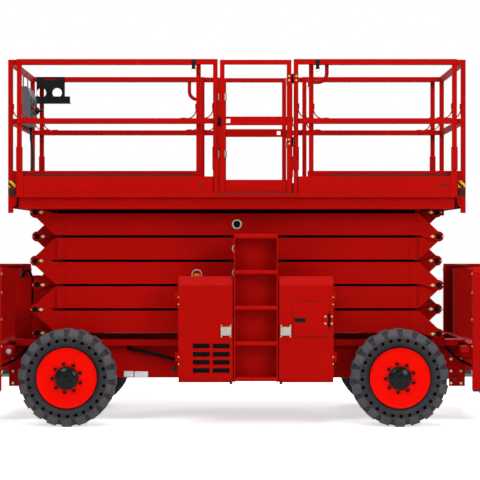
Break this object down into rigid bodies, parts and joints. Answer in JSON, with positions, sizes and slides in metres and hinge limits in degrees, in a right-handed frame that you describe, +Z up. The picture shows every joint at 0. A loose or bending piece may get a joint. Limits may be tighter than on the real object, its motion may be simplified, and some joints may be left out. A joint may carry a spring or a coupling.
{
  "type": "rough-terrain scissor lift",
  "caption": "Four-wheeled diesel scissor lift with railed sliding decks, side cabinets, ladders and outriggers; raises people and tools to work at height.",
  "frame": {"origin": "on the ground under the middle of the machine", "axes": "+X to the rear, +Y to the far side of the picture, +Z up"},
  "size_m": [4.88, 2.29, 3.169],
  "materials": {
    "red_paint": "gloss enamel",
    "black_paint": "satin black enamel",
    "grey_paint": "satin grey enamel",
    "steel": "bare machined steel",
    "rod_chrome": "hard chrome",
    "tyre_rubber": "moulded rubber",
    "cable_rubber": "cable sheath",
    "engine_iron": "painted casting",
    "black_plastic": "moulded plastic",
    "grey_plastic": "moulded plastic",
    "amber_lens": "clear amber moulding"
  },
  "bodies": {
    "chassis": {"chassis_frame": "red_paint", "cabinet_trays": "red_paint", "hose_guard": "red_paint", "front_axle": "black_paint", "rear_axle": "black_paint", "outrigger_frame_front": "red_paint", "outrigger_frame_rear": "red_paint", "ladders": "red_paint", "cabinets": "red_paint", "engine": "engine_iron", "tanks": "black_plastic", "beacon": "amber_lens"},
    "knuckle_near": {"knuckle_near": "black_paint"},
    "knuckle_far": {"knuckle_far": "black_paint"},
    "track_rod": {"track_rod": "steel"},
    "wheel_front_near": {"tyre_front_near": "tyre_rubber", "rim_front_near": "red_paint"},
    "wheel_rear_near": {"tyre_rear_near": "tyre_rubber", "rim_rear_near": "red_paint"},
    "wheel_front_far": {"tyre_front_far": "tyre_rubber", "rim_front_far": "red_paint"},
    "wheel_rear_far": {"tyre_rear_far": "tyre_rubber", "rim_rear_far": "red_paint"},
    "leg_front_near": {"outrigger_leg_front_near": "grey_paint"},
    "leg_front_far": {"outrigger_leg_front_far": "grey_paint"},
    "leg_rear_near": {"outrigger_leg_rear_near": "grey_paint"},
    "leg_rear_far": {"outrigger_leg_rear_far": "grey_paint"},
    "door_front_near": {"door_front_near": "red_paint"},
    "door_front_far": {"door_front_far": "red_paint"},
    "door_rear_near": {"door_rear_near": "red_paint"},
    "door_rear_far": {"door_rear_far": "red_paint"},
    "control_lid": {"control_lid": "red_paint"},
    "outer_arm_1": {"outer_arm_1": "red_paint"},
    "inner_arm_1": {"inner_arm_1": "red_paint"},
    "outer_arm_2": {"outer_arm_2": "red_paint"},
    "inner_arm_2": {"inner_arm_2": "red_paint"},
    "outer_arm_3": {"outer_arm_3": "red_paint"},
    "inner_arm_3": {"inner_arm_3": "red_paint"},
    "outer_arm_4": {"outer_arm_4": "red_paint"},
    "inner_arm_4": {"inner_arm_4": "red_paint"},
    "outer_arm_5": {"outer_arm_5": "red_paint"},
    "inner_arm_5": {"inner_arm_5": "red_paint"},
    "barrels_lower": {"lift_barrels_lower": "black_paint"},
    "rods_lower": {"lift_rods_lower": "rod_chrome"},
    "barrels_upper": {"lift_barrels_upper": "black_paint"},
    "rods_upper": {"lift_rods_upper": "rod_chrome"},
    "platform": {"platform_deck": "red_paint", "guard_rails_near": "red_paint", "guard_rails_far": "red_paint"},
    "gate_near": {"gate_near": "red_paint", "gate_plates_near": "red_paint"},
    "gate_far": {"gate_far": "red_paint", "gate_plates_far": "red_paint"},
    "slide_front": {"slide_deck_front": "red_paint", "control_box": "grey_plastic", "document_tray": "black_plastic", "control_cable": "cable_rubber"},
    "slide_rear": {"slide_deck_rear": "red_paint"}
  },
  "joints": [
    {"name": "steer", "type": "hinge", "parent": "chassis", "child": "knuckle_near", "pos_m": [-1.455, -0.83, 0.419], "axis": [0, 0, 1], "range_deg": [-35, 35]},
    {"name": "steer_far", "type": "hinge", "parent": "chassis", "child": "knuckle_far", "pos_m": [-1.455, 0.83, 0.419], "axis": [0, 0, 1], "range_deg": [-35, 35]},
    {"name": "track_rod_turn", "type": "hinge", "parent": "knuckle_near", "child": "track_rod", "pos_m": [-1.275, -0.83, 0.322], "axis": [0, 0, 1], "range_deg": [-35, 35]},
    {"name": "wheel_front_near_spin", "type": "hinge", "parent": "knuckle_near", "child": "wheel_front_near", "pos_m": [-1.455, -1, 0.419], "axis": [0, 1, 0], "continuous": true},
    {"name": "wheel_rear_near_spin", "type": "hinge", "parent": "chassis", "child": "wheel_rear_near", "pos_m": [1.395, -1, 0.419], "axis": [0, 1, 0], "continuous": true},
    {"name": "wheel_front_far_spin", "type": "hinge", "parent": "knuckle_far", "child": "wheel_front_far", "pos_m": [-1.455, 1, 0.419], "axis": [0, 1, 0], "continuous": true},
    {"name": "wheel_rear_far_spin", "type": "hinge", "parent": "chassis", "child": "wheel_rear_far", "pos_m": [1.395, 1, 0.419], "axis": [0, 1, 0], "continuous": true},
    {"name": "leg_front_near_slide", "type": "slide", "parent": "chassis", "child": "leg_front_near", "axis": [0, 0, -1], "range_m": [0, 0.5]},
    {"name": "leg_front_far_slide", "type": "slide", "parent": "chassis", "child": "leg_front_far", "axis": [0, 0, -1], "range_m": [0, 0.5]},
    {"name": "leg_rear_near_slide", "type": "slide", "parent": "chassis", "child": "leg_rear_near", "axis": [0, 0, -1], "range_m": [0, 0.5]},
    {"name": "leg_rear_far_slide", "type": "slide", "parent": "chassis", "child": "leg_rear_far", "axis": [0, 0, -1], "range_m": [0, 0.5]},
    {"name": "door_front_near_swing", "type": "hinge", "parent": "chassis", "child": "door_front_near", "pos_m": [-0.5185, -1.1075, 0.8], "axis": [0, 0, -1], "range_deg": [0, 110]},
    {"name": "door_front_far_swing", "type": "hinge", "parent": "chassis", "child": "door_front_far", "pos_m": [-0.5185, 1.1075, 0.8], "axis": [0, 0, 1], "range_deg": [0, 110]},
    {"name": "door_rear_near_swing", "type": "hinge", "parent": "chassis", "child": "door_rear_near", "pos_m": [0.8445, -1.1075, 0.8], "axis": [0, 0, 1], "range_deg": [0, 110]},
    {"name": "door_rear_far_swing", "type": "hinge", "parent": "chassis", "child": "door_rear_far", "pos_m": [0.8445, 1.1075, 0.8], "axis": [0, 0, -1], "range_deg": [0, 110]},
    {"name": "control_lid_swing", "type": "hinge", "parent": "door_rear_near", "child": "control_lid", "pos_m": [0.7885, -1.128, 0.9], "axis": [0, 0, 1], "range_deg": [0, 100]},
    {"name": "lift", "type": "hinge", "parent": "chassis", "child": "outer_arm_1", "pos_m": [1.772, 0, 0.775], "axis": [0, 1, 0], "range_deg": [0, 55.5]},
    {"name": "centre_joint_1", "type": "hinge", "parent": "outer_arm_1", "child": "inner_arm_1", "pos_m": [0, 0, 0.882], "axis": [0, 1, 0], "range_deg": [-111, 0]},
    {"name": "outer_joint_2", "type": "hinge", "parent": "outer_arm_1", "child": "outer_arm_2", "pos_m": [-1.772, 0, 0.989], "axis": [0, 1, 0], "range_deg": [-111, 0]},
    {"name": "centre_joint_2", "type": "hinge", "parent": "outer_arm_2", "child": "inner_arm_2", "pos_m": [0, 0, 1.096], "axis": [0, 1, 0], "range_deg": [0, 111]},
    {"name": "outer_joint_3", "type": "hinge", "parent": "outer_arm_2", "child": "outer_arm_3", "pos_m": [1.772, 0, 1.203], "axis": [0, 1, 0], "range_deg": [0, 111]},
    {"name": "centre_joint_3", "type": "hinge", "parent": "outer_arm_3", "child": "inner_arm_3", "pos_m": [0, 0, 1.31], "axis": [0, 1, 0], "range_deg": [-111, 0]},
    {"name": "outer_joint_4", "type": "hinge", "parent": "outer_arm_3", "child": "outer_arm_4", "pos_m": [-1.772, 0, 1.417], "axis": [0, 1, 0], "range_deg": [-111, 0]},
    {"name": "centre_joint_4", "type": "hinge", "parent": "outer_arm_4", "child": "inner_arm_4", "pos_m": [0, 0, 1.524], "axis": [0, 1, 0], "range_deg": [0, 111]},
    {"name": "outer_joint_5", "type": "hinge", "parent": "outer_arm_4", "child": "outer_arm_5", "pos_m": [1.772, 0, 1.631], "axis": [0, 1, 0], "range_deg": [0, 111]},
    {"name": "centre_joint_5", "type": "hinge", "parent": "outer_arm_5", "child": "inner_arm_5", "pos_m": [0, 0, 1.738], "axis": [0, 1, 0], "range_deg": [-111, 0]},
    {"name": "barrels_lower_swing", "type": "hinge", "parent": "inner_arm_1", "child": "barrels_lower", "pos_m": [-0.1, 0, 0.852], "axis": [0, 1, 0], "range_deg": [-3.4, 0]},
    {"name": "rods_lower_slide", "type": "slide", "parent": "barrels_lower", "child": "rods_lower", "axis": [0.9906, 0, 0.1368], "range_m": [0, 0.535]},
    {"name": "barrels_upper_swing", "type": "hinge", "parent": "inner_arm_3", "child": "barrels_upper", "pos_m": [-0.1, 0, 1.28], "axis": [0, 1, 0], "range_deg": [-3.4, 0]},
    {"name": "rods_upper_slide", "type": "slide", "parent": "barrels_upper", "child": "rods_upper", "axis": [0.9906, 0, 0.1368], "range_m": [0, 0.535]},
    {"name": "platform_joint", "type": "hinge", "parent": "inner_arm_5", "child": "platform", "pos_m": [1.772, 0, 1.845], "axis": [0, 1, 0], "range_deg": [0, 55.5]},
    {"name": "gate_near_swing", "type": "hinge", "parent": "platform", "child": "gate_near", "pos_m": [0.482, -0.856, 2.6], "axis": [0, 0, -1], "range_deg": [0, 90]},
    {"name": "gate_far_swing", "type": "hinge", "parent": "platform", "child": "gate_far", "pos_m": [-0.156, 0.856, 2.6], "axis": [0, 0, -1], "range_deg": [0, 90]},
    {"name": "slide_front_out", "type": "slide", "parent": "platform", "child": "slide_front", "axis": [-1, 0, 0], "range_m": [0, 1.45]},
    {"name": "slide_rear_out", "type": "slide", "parent": "platform", "child": "slide_rear", "axis": [1, 0, 0], "range_m": [0, 1.1]}
  ],
  "couplings": [
    {"joint": "steer_far", "follows": "steer", "ratio": 1},
    {"joint": "track_rod_turn", "follows": "steer", "ratio": -1},
    {"joint": "centre_joint_1", "follows": "lift", "ratio": -2},
    {"joint": "outer_joint_2", "follows": "lift", "ratio": -2},
    {"joint": "centre_joint_2", "follows": "lift", "ratio": 2},
    {"joint": "outer_joint_3", "follows": "lift", "ratio": 2},
    {"joint": "centre_joint_3", "follows": "lift", "ratio": -2},
    {"joint": "outer_joint_4", "follows": "lift", "ratio": -2},
    {"joint": "centre_joint_4", "follows": "lift", "ratio": 2},
    {"joint": "outer_joint_5", "follows": "lift", "ratio": 2},
    {"joint": "centre_joint_5", "follows": "lift", "ratio": -2},
    {"joint": "barrels_lower_swing", "follows": "lift", "ratio": -0.06126},
    {"joint": "rods_lower_slide", "follows": "lift", "m_per_rad": 0.55231},
    {"joint": "barrels_upper_swing", "follows": "lift", "ratio": -0.06126},
    {"joint": "rods_upper_slide", "follows": "lift", "m_per_rad": 0.55231},
    {"joint": "platform_joint", "follows": "lift", "ratio": 1}
  ]
}
